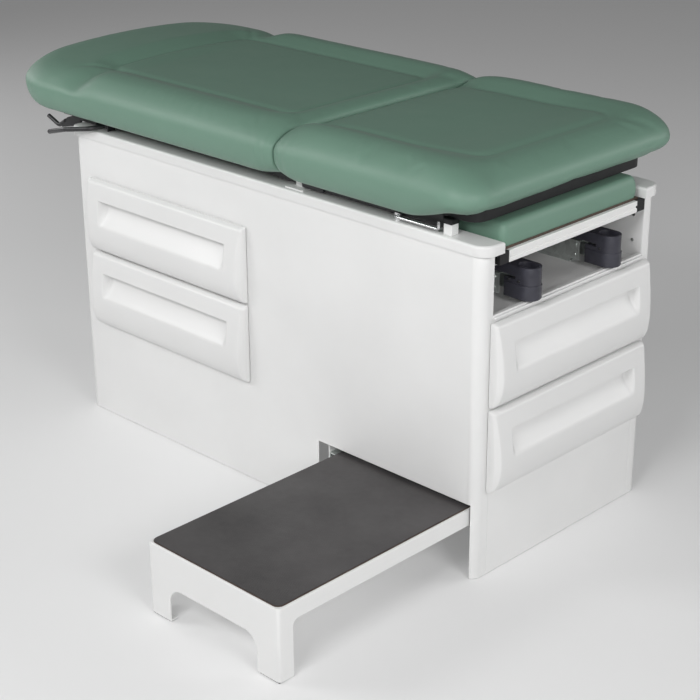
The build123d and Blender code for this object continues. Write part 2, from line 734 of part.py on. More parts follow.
# ================================================================ every node
nodes = {
    "base_frame": base_frame(),
    "near_side_panel": near_side_panel(),
    "far_side_panel": far_side_panel(),
    "foot_end_panel": foot_end_panel(),
    "head_end_panel": head_end_panel(),
    "near_trim": near_trim(),
    "far_trim": across(near_trim()),
    "inner_walls": both(inner_wall()),
    "compartment_shelf": compartment_shelf(),
    "bay_partition": bay_partition(),
    "drawer_bay_wall": drawer_bay_wall(),
    "step_bay_wall": step_bay_wall(),
    "side_drawer_rails": side_drawer_rails(),
    "foot_drawer_rails": foot_drawer_rails(),
    "step_rails": step_rails(),
    "stirrup_tracks": both(stirrup_track()),
    "leg_rest_guides": both(leg_rest_guide()),
    "seat_posts": both(seat_post()),
    "seat_post_caps": both(seat_post_cap()),
    "back_bumpers": both(back_bumper()),
    "hinge_brackets": both(hinge_bracket()),
    "hinge_pins": both(hinge_pin()),
    "prop_rod_brackets": both(prop_rod_bracket()),
    "strut_bracket": strut_bracket(),
    "strut_cylinder": strut_cylinder(),
    "cabinet_screws": cabinet_screws(),
    "strut_rod": strut_rod(),
    "back_board": back_board(),
    "back_frame": back_frame(),
    "back_pad": back_pad(),
    "back_fold_roll": back_fold_roll(),
    "paper_hooks": both(paper_hook()),
    "lift_bracket": lift_bracket(),
    "release_handle": release_handle(),
    "seat_board": seat_board(),
    "seat_frame": seat_frame(),
    "seat_pad": seat_pad(),
    "near_prop_rod": near_prop_rod(),
    "far_prop_rod": across(near_prop_rod()),
    "leg_rest_rail": leg_rest_rail(),
    "leg_rest_caps": leg_rest_caps(),
    "leg_rest_board": leg_rest_board(),
    "leg_rest_pad": leg_rest_pad(),
    "leg_rest_runners": both(leg_rest_runner()),
    "step_shell": step_shell(),
    "step_mat": step_mat(),
    "step_feet": step_feet(),
    "near_stirrup_arm": stirrup_arm(),
    "far_stirrup_arm": across(stirrup_arm()),
    "near_heel_cup": heel_cup(),
    "far_heel_cup": across(heel_cup()),
}

side_x = (SIDE_FRONT_X[0] + SIDE_FRONT_X[1]) / 2
side_box_x = (SIDE_BOX_X[0] + SIDE_BOX_X[1]) / 2
for name, front_z in SIDE_FRONTS_Z.items():
    front = drawer_front(SIDE_FRONT_X[1] - SIDE_FRONT_X[0], front_z[1] - front_z[0])
    box = drawer_box(SIDE_BOX_X[1] - SIDE_BOX_X[0], SIDE_BOX_DEPTH, box_height(front_z))
    nodes[name + "_front"] = place_side(front, side_x, front_z[0])
    nodes[name + "_box"] = place_side(box, side_box_x, front_z[0] + BOX_LIFT)

for name, front_z in FOOT_FRONTS_Z.items():
    front = drawer_front(2 * FOOT_FRONT_HALF, front_z[1] - front_z[0])
    box = drawer_box(2 * FOOT_BOX_HALF, FOOT_BOX_DEPTH, box_height(front_z))
    nodes[name + "_front"] = place_foot(front, front_z[0])
    nodes[name + "_box"] = place_foot(box, front_z[0] + BOX_LIFT)

for name, shape in nodes.items():
    export_step(shape, "parts/" + name + ".step")
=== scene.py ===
import bmesh
import bpy
import json
import numpy as np
from math import cos, pi, radians, sin, tau
from mathutils import Matrix, Vector


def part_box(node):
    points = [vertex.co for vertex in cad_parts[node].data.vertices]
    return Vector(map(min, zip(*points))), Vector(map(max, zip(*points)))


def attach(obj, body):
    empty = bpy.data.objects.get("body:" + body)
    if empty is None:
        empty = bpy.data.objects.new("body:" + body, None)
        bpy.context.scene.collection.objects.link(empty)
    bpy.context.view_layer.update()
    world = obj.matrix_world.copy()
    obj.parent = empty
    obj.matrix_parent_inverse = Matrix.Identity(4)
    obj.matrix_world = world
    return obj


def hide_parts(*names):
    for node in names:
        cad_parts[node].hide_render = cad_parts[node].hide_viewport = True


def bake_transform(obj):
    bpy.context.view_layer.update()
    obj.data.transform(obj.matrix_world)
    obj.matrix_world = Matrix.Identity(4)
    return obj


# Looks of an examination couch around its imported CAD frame. Metres, +X foot end, -Y near side.
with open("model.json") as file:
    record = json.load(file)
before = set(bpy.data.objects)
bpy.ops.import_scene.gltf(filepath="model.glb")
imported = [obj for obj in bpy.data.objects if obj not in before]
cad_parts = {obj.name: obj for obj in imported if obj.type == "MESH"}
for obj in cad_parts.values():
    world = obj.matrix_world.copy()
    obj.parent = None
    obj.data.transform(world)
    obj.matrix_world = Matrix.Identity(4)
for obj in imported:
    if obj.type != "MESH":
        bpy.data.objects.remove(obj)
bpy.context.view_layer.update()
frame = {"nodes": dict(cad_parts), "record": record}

# ---------------------------------------------------------------- camera
CAMERA_AIM = Vector((0.08573, -0.085, 0.28904))
CAMERA_AZIMUTH = radians(44.342)
CAMERA_ELEVATION = radians(23.018)
CAMERA_ROLL = radians(-0.285)
CAMERA_DISTANCE = 3.70247
CAMERA_LENS = 86.512
CAMERA_SENSOR = 36.0
CAMERA_REACH = 200.0

# ---------------------------------------------------------------- light
LIGHT_AIM = Vector((0.0, -0.1, 0.45))
# Each light's name, azimuth and elevation in degrees, distance, size, and power in watts.
LIGHTS = [
    ("key", 22, 33, 4.0, (1.5, 1.0), 70),
    ("low_key", 50, 11, 4.2, (1.8, 1.0), 12),
    ("head_side", -44, 27, 3.8, (1.6, 1.0), 44),
    ("foot_side", 72, 25, 4.0, (1.4, 1.0), 48),
    ("rear_fill", 138, 16, 4.4, (2.0, 1.2), 34),
    ("head_fill", -86, 16, 4.2, (1.8, 1.2), 23),
]
FLOOR_HALF = 40.0
FLOOR_GLOW = 0.15
SKY_STRENGTH = 0.24
SKY_BRIGHT_UP_TO = 0.06
SKY_DARK_FROM = 0.50

# ---------------------------------------------------------------- both main pads
# In a pair, a change of shape starts at the first place and is complete at the second.
HALF_W = 0.343
HEAD_X = -0.815
FOLD_X = 0.112
FOOT_X = 0.632
FOLD_GAP = 0.0008
WIDEST_Z = 0.797
CREST_Z = 0.850
PAD_BOTTOM_Z = 0.7425
SIDE_ROUND = 0.078
UNDER_ROUND = 0.030
HEAD_CORNER_R = 0.168
FOOT_CORNER_R = 0.072
FOLD_CORNER_R = 0.007
LEAST_CORNER_R = 0.006
UNDER_STEPS = 7
OVER_STEPS = 13
PAD_VOXEL = 0.0065
PANEL_HALF_W = 0.208
PANEL_CROWN = 0.0020
CREASE_INSET = 0.001
PINCH = 0.006
PINCH_UNDER = 0.010
PINCH_REACH = 0.030
PINCH_FROM_Y = 0.22
PINCH_UNDER_FROM_Y = 0.26
FILL_LIMIT = 0.005
FILL_PRESSURE = 4.0
FILL_FRAMES = 20
FILL_FROM_FOLD = (0.0, 0.06)
FILL_Z = (0.748, 0.765)
SETTLE = 0.0018
WRINKLE_DEPTH = 0.0030
WRINKLE_PITCH = 0.017
WRINKLE_SPREAD = 0.10
WRINKLE_PHASE = 1.2
WRINKLE_REACH = 0.028
WRINKLE_Y = (0.25, 0.33)
WRINKLE_LOW_Z = (0.752, 0.778)
WRINKLE_HIGH_Z = (0.846, 0.825)

# ---------------------------------------------------------------- back pad
BACK_INSET_SCALES = (1.15, 0.05)
BACK_DROP = 0.0015
PILLOW_X = (-0.475, -0.560)
PILLOW_RISE = 0.0085
PILLOW_FALL = 0.019
PILLOW_HALF_W = 0.289
SADDLE_X = -0.518
SADDLE_LENGTH = 0.034
SADDLE_DEPTH = 0.011
SADDLE_Y = (0.215, 0.27)
BACK_PANEL_X = (-0.545, 0.046)
BACK_PANEL_CORNER = 0.030
BACK_PANEL_WALL = 0.058
BACK_PANEL_DEPTH = 0.0130
BACK_CROWN_INSIDE = (0.05, 0.20)
BACK_CREASE_DEPTH = 0.0036
BACK_CREASE_W = 0.009
BACK_FOLD_DEPTH = 0.0165
BACK_FOLD_REACH = 0.060
ROLL_X = 0.070
ROLL_LENGTH = 0.028
ROLL_RISE = 0.0030
ROLL_Y = (0.24, 0.18)
DART_Y = 0.212
DART_SLANT = 0.9
DART_X = -0.535
DART_DEPTH = 0.0035
DART_W = 0.010
DART_HEAD_X = (-0.615, -0.560)
DART_FOOT_X = (-0.46, -0.54)

# ---------------------------------------------------------------- seat pad
SEAT_INSET_SCALES = (0.05, 1.65)
SEAT_RISE = 0.0035
SEAT_RISE_X = (0.13, 0.26)
SEAT_PANEL_X = (0.020, 0.546)
SEAT_PANEL_CORNER = 0.040
SEAT_PANEL_WALL = 0.060
SEAT_PANEL_DEPTH = 0.0145
SEAT_CROWN_INSIDE = (0.05, 0.18)
SEAT_PANEL_EASE = 0.0080
SEAT_PANEL_EASE_X = (0.36, 0.56)
SEAT_CREASE_DEPTH = 0.0032
SEAT_CREASE_W = 0.010
SEAT_CREASE_X = (0.13, 0.20)
SEAT_FOLD_DEPTH = 0.0075
SEAT_FOLD_SIDE_DEPTH = 0.0115
SEAT_FOLD_SIDE_Y = (0.19, 0.25)
SEAT_FOLD_REACH = 0.090
FOOT_LIFT = 0.0255
FOOT_LIFT_X = (0.455, 0.590)
BOARD_LIFT = 0.005
BOARD_END_X = (0.575, 0.562)
BOARD_SIDE_Y = (0.272, 0.258)

# ---------------------------------------------------------------- seat board, a black sheet of painted shade
SHADE_SHEET_BOTTOM_Z = 0.7393
SHADE_SHEET_HALF_W = 0.262
SHADE_SHEET_CORNER_RS = (0.004, 0.030)
# The top rises towards the foot end so that black fills the gap there: painted shade.
SHADE_SHEET_TOP = [(0.148, 0.7485), (0.300, 0.7485), (0.440, 0.7490), (0.500, 0.7530),
             (0.550, 0.7600), (0.578, 0.7640), (0.586, 0.7640)]

# ---------------------------------------------------------------- leg pad
LEG_VOXEL = 0.005
LEG_SAG = 0.0026
LEG_WIDEST = 0.014
LEG_TOP_DROP = 0.002
LEG_TOP_ROUND = 0.013
LEG_UNDER_ROUND = 0.003
LEG_CORNER_RS = (0.014, 0.016)
LEG_CROWN = 0.0018
LEG_TUCK = 0.0012

# ---------------------------------------------------------------- drawer fronts
FRONT_TOP = 0.0165
FRONT_BELLY = 0.031
FRONT_BOTTOM = 0.008
FRONT_EDGE = 0.0045
BELLY_SHARE = 0.36
END_ROUND = 0.011
CROWN_ROUND = 0.007
LEAST_END_ROUND = 0.003
# Powers that set how full each curve is.
UPPER_FULLNESS = 1.7
LOWER_FULLNESS = 2.2
SCOOP_FULLNESS = 1.25
WALL_FULLNESS = 0.8
END_FULLNESS = 1.5
CROWN_FULLNESS = 1.7
GRIP_TOP = 0.043
GRIP_BOTTOM = 0.104
GRIP_MARGIN = 0.046
GRIP_BACK = 0.0045
GRIP_FLAT = 0.016
GRIP_WALL = 0.014
GRIP_UNDERCUT = 0.012
LIP_BELOW = 0.006
LIP_BLEND = (0.012, 0.010)
ALONG_STEP = 0.012
UP_STEP = 0.0045
# Where the mesh of a front has lines: beside the recess's ends, before the front's ends,
# over the bottom edge, beside the recess's top edge, and below the top edge.
GRIP_END_LINES = (-0.015, -0.012, -0.009, -0.006, -0.003, -0.0012, 0.0, 0.002)
END_LINES = (0.014, 0.011, 0.009, 0.007, 0.005, 0.003, 0.0015, 0.0005, 0.0)
BOTTOM_LINES = (0.0, 0.0004, 0.0012, 0.003, 0.006, 0.011)
GRIP_TOP_LINES = (-0.016, -0.0052, -0.0016, -0.0008, 0.0, 0.0008, 0.003)
CROWN_LINES = (0.007, 0.0045, 0.0025, 0.001, 0.0003, 0.0)
# The rim behind a front steps back to its foot: depth and inset of each step.
RIM_STEPS = ((0.0035, 0.0), (0.0030, 0.0028), (0.0, 0.0028))

# ---------------------------------------------------------------- small trims
MAT_CORNER_R = 0.013
CUP_BAND_X = 0.566
CUP_BAND_GROW = (0.0016, -0.0015)
CUP_BAND_Z = (0.0015, 0.030)
MAT_EDGE_GROW = (0.0011, -0.0010)
SCREW_Z = 0.0365
SCREW_X = (0.010, 0.034)
# Radius and height of each ring of a screw head.
SCREW_RINGS = [(0.0029, -0.0005), (0.0029, 0.0003), (0.0022, 0.0010), (0.0008, 0.0012)]
SCREW_SIDES = 16

# ---------------------------------------------------------------- points on each side of a ring
MANY = 40
FEW = 24


# ================================================================ small helpers
def smooth(a, b, x):
    """0 before a, 1 after b, and a smooth step between them."""
    t = np.clip((x - a) / (b - a), 0.0, 1.0)
    return t * t * (3 - 2 * t)


def hill(x, centre, width):
    """A smooth bump of height 1."""
    return np.exp(-(((x - centre) / width) ** 2))


def dome(share):
    """Quarter circle: 0 at share 0, rising steeply to 1 at share 1."""
    s = np.clip(share, 0.0, 1.0)
    return np.sqrt(1 - (1 - s) ** 2)


def mesh_object(name, verts, faces):
    """A smooth-shaded object from points and faces, with its normals outwards."""
    mesh = bpy.data.meshes.new(name)
    mesh.from_pydata([tuple(v) for v in verts], [], faces)
    bm = bmesh.new()
    bm.from_mesh(mesh)
    bmesh.ops.recalc_face_normals(bm, faces=bm.faces)
    bm.to_mesh(mesh)
    bm.free()
    mesh.polygons.foreach_set("use_smooth", [True] * len(mesh.polygons))
    obj = bpy.data.objects.new(name, mesh)
    bpy.context.scene.collection.objects.link(obj)
    return obj


def points_of(obj):
    """The mesh's points as an array."""
    co = np.empty(len(obj.data.vertices) * 3)
    obj.data.vertices.foreach_get("co", co)
    return co.reshape(-1, 3)


def set_points(obj, co):
    """Writes an array of points back into the mesh."""
    obj.data.vertices.foreach_set("co", co.ravel())
    obj.data.update()


def wall(lower, upper):
    """Quads between two closed rings of point numbers."""
    count = len(lower)
    return [(lower[k], lower[(k + 1) % count], upper[(k + 1) % count], upper[k])
            for k in range(count)]


def level_ring(level, count):
    """The point numbers of one ring in a stack of rings of the same count."""
    return range(level * count, (level + 1) * count)


def smooth_by_angle(obj, degrees):
    """Edges sharper than the angle stay crisp."""
    bm = bmesh.new()
    bm.from_mesh(obj.data)
    limit = radians(degrees)
    for edge in bm.edges:
        if len(edge.link_faces) == 2:
            edge.smooth = edge.calc_face_angle(0.0) < limit
    bm.to_mesh(obj.data)
    bm.free()


def add_subdivision(obj):
    """One level of Catmull-Clark subdivision, as a modifier."""
    sub = obj.modifiers.new("subdivision", "SUBSURF")
    sub.levels = 1
    sub.render_levels = 1


def add_bevel(obj, width, degrees=30.0):
    """A narrow rounded edge wherever faces meet at more than the angle, as a modifier."""
    bevel = obj.modifiers.new("bevel", "BEVEL")
    bevel.width = width
    bevel.segments = 2
    bevel.limit_method = "ANGLE"
    bevel.angle_limit = radians(degrees)


def activate(obj):
    """Makes obj the only selected object."""
    bpy.ops.object.select_all(action="DESELECT")
    bpy.context.view_layer.objects.active = obj
    obj.select_set(True)


def apply_modifiers(obj):
    """Bakes the modifiers into the mesh."""
    activate(obj)
    for modifier in list(obj.modifiers):
        bpy.ops.object.modifier_apply(modifier=modifier.name)


# ================================================================ material nodes
class Paint:
    """A Principled material with short calls for the nodes that give it its detail."""

    def __init__(self, name, colour, roughness, metallic=0.0, **sockets):
        """The uniform values sit on the shader; underscores in a socket's name are spaces."""
        self.material = bpy.data.materials.new(name)
        self.material.use_nodes = True
        self.material.diffuse_color = (*colour, 1.0)
        self.nodes = self.material.node_tree.nodes
        self.links = self.material.node_tree.links
        self.shader = self.nodes["Principled BSDF"]
        self.shader.inputs["Base Color"].default_value = (*colour, 1.0)
        self.shader.inputs["Roughness"].default_value = roughness
        self.shader.inputs["Metallic"].default_value = metallic
        for socket, value in sockets.items():
            self.shader.inputs[socket.replace("_", " ")].default_value = value
        self.place = self.nodes.new("ShaderNodeTexCoord").outputs["Object"]

    def stretched(self, scale):
        """The object coordinates, scaled along each axis."""
        node = self.nodes.new("ShaderNodeMapping")
        node.inputs["Scale"].default_value = scale
        self.links.new(self.place, node.inputs["Vector"])
        return node.outputs["Vector"]

    def noise(self, scale, detail=3.0, roughness=0.5, place=None):
        """Soft random clouds."""
        node = self.nodes.new("ShaderNodeTexNoise")
        node.inputs["Scale"].default_value = scale
        node.inputs["Detail"].default_value = detail
        node.inputs["Roughness"].default_value = roughness
        self.links.new(place or self.place, node.inputs["Vector"])
        return node.outputs["Fac"]

    def cells(self, scale, feature="F1", output="Distance"):
        """A cell pattern, read as distance or as one random colour per cell."""
        node = self.nodes.new("ShaderNodeTexVoronoi")
        node.feature = feature
        node.inputs["Scale"].default_value = scale
        self.links.new(self.place, node.inputs["Vector"])
        return node.outputs[output]

    def bands(self, scale, axis):
        """Even parallel ribs across an axis."""
        node = self.nodes.new("ShaderNodeTexWave")
        node.bands_direction = axis
        node.inputs["Scale"].default_value = scale
        self.links.new(self.place, node.inputs["Vector"])
        return node.outputs["Fac"]

    def ramp(self, factor, low, high, start=0.3, end=0.7):
        """A colour between low and high, read off a factor."""
        node = self.nodes.new("ShaderNodeValToRGB")
        node.color_ramp.elements[0].position = start
        node.color_ramp.elements[0].color = (*low, 1.0)
        node.color_ramp.elements[1].position = end
        node.color_ramp.elements[1].color = (*high, 1.0)
        self.links.new(factor, node.inputs["Fac"])
        return node.outputs["Color"]

    def spread(self, factor, low, high):
        """A factor mapped from its middle range onto low to high."""
        node = self.nodes.new("ShaderNodeMapRange")
        node.inputs["From Min"].default_value = 0.25
        node.inputs["From Max"].default_value = 0.75
        node.inputs["To Min"].default_value = low
        node.inputs["To Max"].default_value = high
        self.links.new(factor, node.inputs["Value"])
        return node.outputs["Result"]

    def sum(self, first, second, weight):
        """first + weight * second."""
        node = self.nodes.new("ShaderNodeMath")
        node.operation = "MULTIPLY_ADD"
        self.links.new(second, node.inputs[0])
        node.inputs[1].default_value = weight
        self.links.new(first, node.inputs[2])
        return node.outputs["Value"]

    def bump(self, height, distance, strength=1.0):
        """Surface relief of the given depth."""
        node = self.nodes.new("ShaderNodeBump")
        node.inputs["Distance"].default_value = distance
        node.inputs["Strength"].default_value = strength
        self.links.new(height, node.inputs["Height"])
        self.links.new(node.outputs["Normal"], self.shader.inputs["Normal"])

    def feed(self, output, socket):
        """Leads a node's output into one of the shader's sockets."""
        self.links.new(output, self.shader.inputs[socket])


def tint(colour, factor):
    """A lighter or darker shade of a colour."""
    return tuple(c * factor for c in colour)


def powder_coat(name, colour, gloss):
    """Baked powder paint: a fine orange peel, and slight clouds in tone and gloss."""
    paint = Paint(name, colour, gloss, Specular_IOR_Level=0.5)
    clouds = paint.noise(scale=4.0, detail=4.0)
    haze = paint.noise(scale=18.0, detail=5.0)
    coarse = paint.noise(scale=520.0, detail=2.0)
    fine = paint.noise(scale=1900.0, detail=1.0)
    paint.feed(paint.ramp(clouds, tint(colour, 0.965), tint(colour, 1.02)), "Base Color")
    paint.feed(paint.spread(haze, gloss - 0.05, gloss + 0.07), "Roughness")
    paint.bump(paint.sum(coarse, fine, weight=0.35), distance=0.00003)
    return paint.material


def moulding(name, colour, gloss):
    """Glossy moulded plastic with faint flow clouds, uneven gloss and a fine skin."""
    paint = Paint(name, colour, gloss, Specular_IOR_Level=0.5)
    clouds = paint.noise(scale=4.0, detail=1.5)
    haze = paint.noise(scale=7.0, detail=1.0)
    paint.feed(paint.ramp(clouds, tint(colour, 0.98), tint(colour, 1.01)), "Base Color")
    paint.feed(paint.spread(haze, gloss - 0.01, gloss + 0.02), "Roughness")
    paint.bump(paint.noise(scale=900.0, detail=2.0), distance=0.00001)
    return paint.material


def vinyl(name, colour):
    """Upholstery vinyl: embossed pebble grain, fine pores and soft changes of tone."""
    paint = Paint(name, colour, 0.49, Specular_IOR_Level=0.40, Sheen_Weight=0.02,
                  Sheen_Roughness=0.45)
    clouds = paint.noise(scale=3.0, detail=2.0)
    speckle = paint.noise(scale=160.0, detail=2.0)
    grain = paint.cells(scale=620.0, feature="DISTANCE_TO_EDGE")
    wrinkle = paint.cells(scale=210.0, feature="SMOOTH_F1")
    haze = paint.noise(scale=14.0, detail=2.0)
    relief = paint.sum(grain, wrinkle, weight=0.8)
    pores = paint.noise(scale=1800.0, detail=2.0)
    tone = paint.sum(clouds, speckle, weight=0.18)
    paint.feed(paint.ramp(tone, tint(colour, 0.96), tint(colour, 1.03), 0.35, 0.85),
               "Base Color")
    paint.feed(paint.spread(haze, 0.46, 0.52), "Roughness")
    paint.bump(paint.sum(relief, pores, weight=0.25), distance=0.00016, strength=0.8)
    return paint.material


def galvanised(name, colour):
    """Zinc-plated sheet: flat crystals of slightly different tone and gloss."""
    paint = Paint(name, colour, 0.36, 0.85)
    spangle = paint.cells(scale=95.0, feature="F1", output="Color")
    separate = paint.nodes.new("ShaderNodeSeparateColor")
    paint.links.new(spangle, separate.inputs["Color"])
    flake = separate.outputs["Red"]
    rolling = paint.noise(1.0, 3.0, 0.6, paint.stretched((60.0, 900.0, 900.0)))
    paint.feed(paint.ramp(flake, tint(colour, 0.82), tint(colour, 1.05), 0.0, 1.0),
               "Base Color")
    paint.feed(paint.spread(flake, 0.28, 0.46), "Roughness")
    paint.bump(rolling, distance=0.00003)
    return paint.material


def textured_plastic(name, colour, gloss):
    """Injection-moulded plastic with a spark-eroded grain."""
    paint = Paint(name, colour, gloss, Specular_IOR_Level=0.4)
    clouds = paint.noise(scale=45.0, detail=3.0)
    grain = paint.noise(scale=1500.0, detail=3.0, roughness=0.6)
    paint.feed(paint.ramp(clouds, tint(colour, 0.85), tint(colour, 1.2)), "Base Color")
    paint.feed(paint.spread(grain, gloss - 0.06, gloss + 0.08), "Roughness")
    paint.bump(grain, distance=0.00009)
    return paint.material


def ribbed_rubber(name, colour):
    """Step mat: fine ribs across the tread over a pebbled skin, with a mottled, scuffed tone."""
    paint = Paint(name, colour, 0.5, Specular_IOR_Level=0.5)
    ribs = paint.bands(scale=95.0, axis="Y")
    pebble = paint.cells(scale=700.0, feature="SMOOTH_F1")
    mottle = paint.noise(scale=5.0, detail=6.0, roughness=0.6)
    scuffs = paint.noise(scale=70.0, detail=3.0)
    haze = paint.noise(scale=6.0, detail=5.0, roughness=0.6)
    worn = paint.sum(mottle, scuffs, weight=0.25)
    paint.feed(paint.ramp(worn, tint(colour, 0.75), tint(colour, 1.35), 0.4, 0.85),
               "Base Color")
    paint.feed(paint.spread(haze, 0.36, 0.62), "Roughness")
    paint.bump(paint.sum(pebble, ribs, weight=0.35), distance=0.00018)
    return paint.material


def plain_rubber(name, colour):
    """Moulded rubber with a dusty bloom."""
    paint = Paint(name, colour, 0.8)
    bloom = paint.noise(scale=80.0, detail=5.0)
    paint.feed(paint.ramp(bloom, colour, tint(colour, 1.7)), "Base Color")
    paint.bump(paint.noise(scale=1100.0, detail=3.0), distance=0.0001)
    return paint.material


def plywood(name, colour):
    """Sealed plywood: long grain and thin dark pores."""
    paint = Paint(name, colour, 0.55)
    grain = paint.noise(1.0, 6.0, 0.65, paint.stretched((6.0, 110.0, 260.0)))
    paint.feed(paint.ramp(grain, tint(colour, 0.6), tint(colour, 1.25), 0.35, 0.65),
               "Base Color")
    paint.bump(grain, distance=0.0002)
    return paint.material


def bright_metal(name, colour):
    """Nickel-plated wire and pins with fine drawing lines."""
    paint = Paint(name, colour, 0.2, 1.0)
    lines = paint.noise(1.0, 4.0, 0.6, paint.stretched((120.0, 900.0, 900.0)))
    paint.feed(paint.spread(lines, 0.14, 0.3), "Roughness")
    paint.feed(paint.ramp(lines, tint(colour, 0.9), colour), "Base Color")
    paint.bump(lines, distance=0.00002)
    return paint.material


def painted_extrusion(name, colour):
    """White-coated aluminium extrusion with faint die lines along its length."""
    paint = Paint(name, colour, 0.3, Specular_IOR_Level=0.55)
    die = paint.noise(1.0, 2.0, 0.5, paint.stretched((300.0, 3.0, 300.0)))
    paint.feed(paint.ramp(die, tint(colour, 0.985), tint(colour, 1.0)), "Base Color")
    paint.feed(paint.spread(die, 0.28, 0.31), "Roughness")
    paint.bump(die, distance=0.00001)
    return paint.material


MATERIALS = {
    "white_steel": powder_coat("white_steel", (0.76, 0.76, 0.755), 0.34),
    "white_moulding": moulding("white_moulding", (0.735, 0.735, 0.73), 0.36),
    "green_vinyl": vinyl("green_vinyl", (0.147, 0.256, 0.195)),
    "galvanised": galvanised("galvanised", (0.66, 0.70, 0.68)),
    "charcoal_plastic": textured_plastic("charcoal_plastic", (0.040, 0.040, 0.052), 0.36),
    "black_plastic": textured_plastic("black_plastic", (0.009, 0.009, 0.010), 0.55),
    "mat_rubber": ribbed_rubber("mat_rubber", (0.050, 0.046, 0.047)),
    "bumper_rubber": plain_rubber("bumper_rubber", (0.02, 0.02, 0.02)),
    # The brown is the wood's own; its very dark tone is painted shade for the boards that sit under
    # the pads.
    "plywood": plywood("plywood", (0.075, 0.048, 0.034)),
    "rail_aluminium": painted_extrusion("rail_aluminium", (0.78, 0.78, 0.77)),
    "black_steel": powder_coat("black_steel", (0.018, 0.018, 0.020), 0.38),
    "bright_steel": bright_metal("bright_steel", (0.72, 0.72, 0.73)),
}


def dress(obj, slot):
    """Gives a new piece the material of the record's slot that it stands for."""
    obj.data.materials.clear()
    obj.data.materials.append(MATERIALS[slot])


# ================================================================ CAD nodes that stay
WELD_DISTANCE = 0.00002
LEAST_EDGE_RADIUS = 0.0004
EDGE_RADIUS = {
    "step_shell": 0.0016, "near_trim": 0.0015, "far_trim": 0.0015, "near_side_panel": 0.0012,
    "far_side_panel": 0.0012, "foot_end_panel": 0.0012, "head_end_panel": 0.0010,
    "inner_walls": 0.0008, "compartment_shelf": 0.0012, "leg_rest_rail": 0.0010,
    "leg_rest_caps": 0.0012, "near_heel_cup": 0.0014, "far_heel_cup": 0.0014,
    "near_stirrup_arm": 0.0008, "far_stirrup_arm": 0.0008, "seat_posts": 0.0010,
    "seat_post_caps": 0.0015, "hinge_brackets": 0.0006, "step_mat": 0.0008,
    "seat_frame": 0.0012, "back_frame": 0.0012, "step_feet": 0.0010,
    "leg_rest_board": 0.0006, "seat_board": 0.0008, "back_board": 0.0008,
}


def dress_cad_nodes():
    """Every CAD node takes its slot's material and slightly broken edges."""
    for row in frame["record"]["subparts"]:
        node = frame["nodes"][row["node"]]
        node.data.materials.clear()
        node.data.materials.append(MATERIALS[row["material_slot"]])
        weld = node.modifiers.new("weld", "WELD")
        weld.merge_threshold = WELD_DISTANCE
        add_bevel(node, EDGE_RADIUS.get(row["node"], LEAST_EDGE_RADIUS), degrees=38)


# ================================================================ main pads
def ring(x0, x1, half_w, r0, r1, count):
    """Points round a rectangle with corner radii r0 at x0 and r1 at x1; count on each side."""
    corners = [(x1, half_w, r1, 0.0), (x0, half_w, r0, 0.5), (x0, -half_w, r0, 1.0),
               (x1, -half_w, r1, 1.5)]
    ring_points = []
    for i, (x, y, r, turn) in enumerate(corners):
        centre = (x - r if x == x1 else x + r, y - r if y > 0 else y + r)
        nx, ny, nr, _ = corners[(i + 1) % 4]
        arc = [(centre[0] + r * cos(turn * pi + a), centre[1] + r * sin(turn * pi + a))
               for a in np.linspace(0, pi / 2, count // 3)]
        ring_points += arc
        last = arc[-1]
        after = (turn + 0.5) * pi
        next_centre = (nx - nr if nx == x1 else nx + nr, ny - nr if ny > 0 else ny + nr)
        target = (next_centre[0] + nr * cos(after), next_centre[1] + nr * sin(after))
        for s in np.linspace(0, 1, count)[1:-1]:
            ring_points.append((last[0] + s * (target[0] - last[0]),
                                last[1] + s * (target[1] - last[1])))
    return ring_points


def pad_body(name, ends, half_w, radii, inset_scales, heights, rounds, count=MANY):
    """A closed pad with rounded sides; inset_scales says how much further its ends round in."""
    bottom, widest, crest = heights
    over, under = rounds
    profile = [(under * (1 - sin(a)), widest - (widest - bottom) * cos(a))
               for a in np.linspace(0, pi / 2, UNDER_STEPS)]
    profile += [(over * (1 - cos(a)), widest + (crest - widest) * sin(a))
                for a in np.linspace(0, pi / 2, OVER_STEPS)[1:]]
    verts = []
    for inset, z in profile:
        rim = ring(ends[0] + inset * inset_scales[0], ends[1] - inset * inset_scales[1],
                   half_w - inset, max(radii[0] - inset, LEAST_CORNER_R),
                   max(radii[1] - inset, LEAST_CORNER_R), count)
        verts += [(x, y, z) for x, y in rim]
    size = len(verts) // len(profile)
    rings = [level_ring(level, size) for level in range(len(profile))]
    faces = []
    for lower, upper in zip(rings[:-1], rings[1:]):
        faces += wall(lower, upper)
    faces.append(tuple(rings[0])[::-1])
    faces.append(tuple(rings[-1]))
    return mesh_object(name, verts, faces)


def even_mesh(obj, voxel):
    """Voxel remesh into even quads, then relax the steps that it leaves."""
    activate(obj)
    obj.data.remesh_voxel_size = voxel
    bpy.ops.object.voxel_remesh()
    relax = obj.modifiers.new("relax", "SMOOTH")
    relax.factor = 0.5
    relax.iterations = 6
    apply_modifiers(obj)


def share_up(z):
    """0 at the widest height and below, 1 on the pad's top."""
    return np.clip((z - WIDEST_Z) / (CREST_Z - WIDEST_Z), 0.0, 1.0)


def share_down(z):
    """0 at the widest height and above, 1 on the underside."""
    return np.clip((WIDEST_Z - z) / (WIDEST_Z - PAD_BOTTOM_Z), 0.0, 1.0)


def panel_mask(x, y, ends, corner, soft):
    """1 inside the sunk panel, 0 outside, with a soft wall; and the distance inside its edge."""
    cx, half = (ends[0] + ends[1]) / 2, (ends[1] - ends[0]) / 2
    dx = np.maximum(np.abs(x - cx) - half + corner, 0)
    dy = np.maximum(np.abs(y) - PANEL_HALF_W + corner, 0)
    inside = corner - np.sqrt(dx * dx + dy * dy)
    return smooth(-soft, 0.0, inside), inside


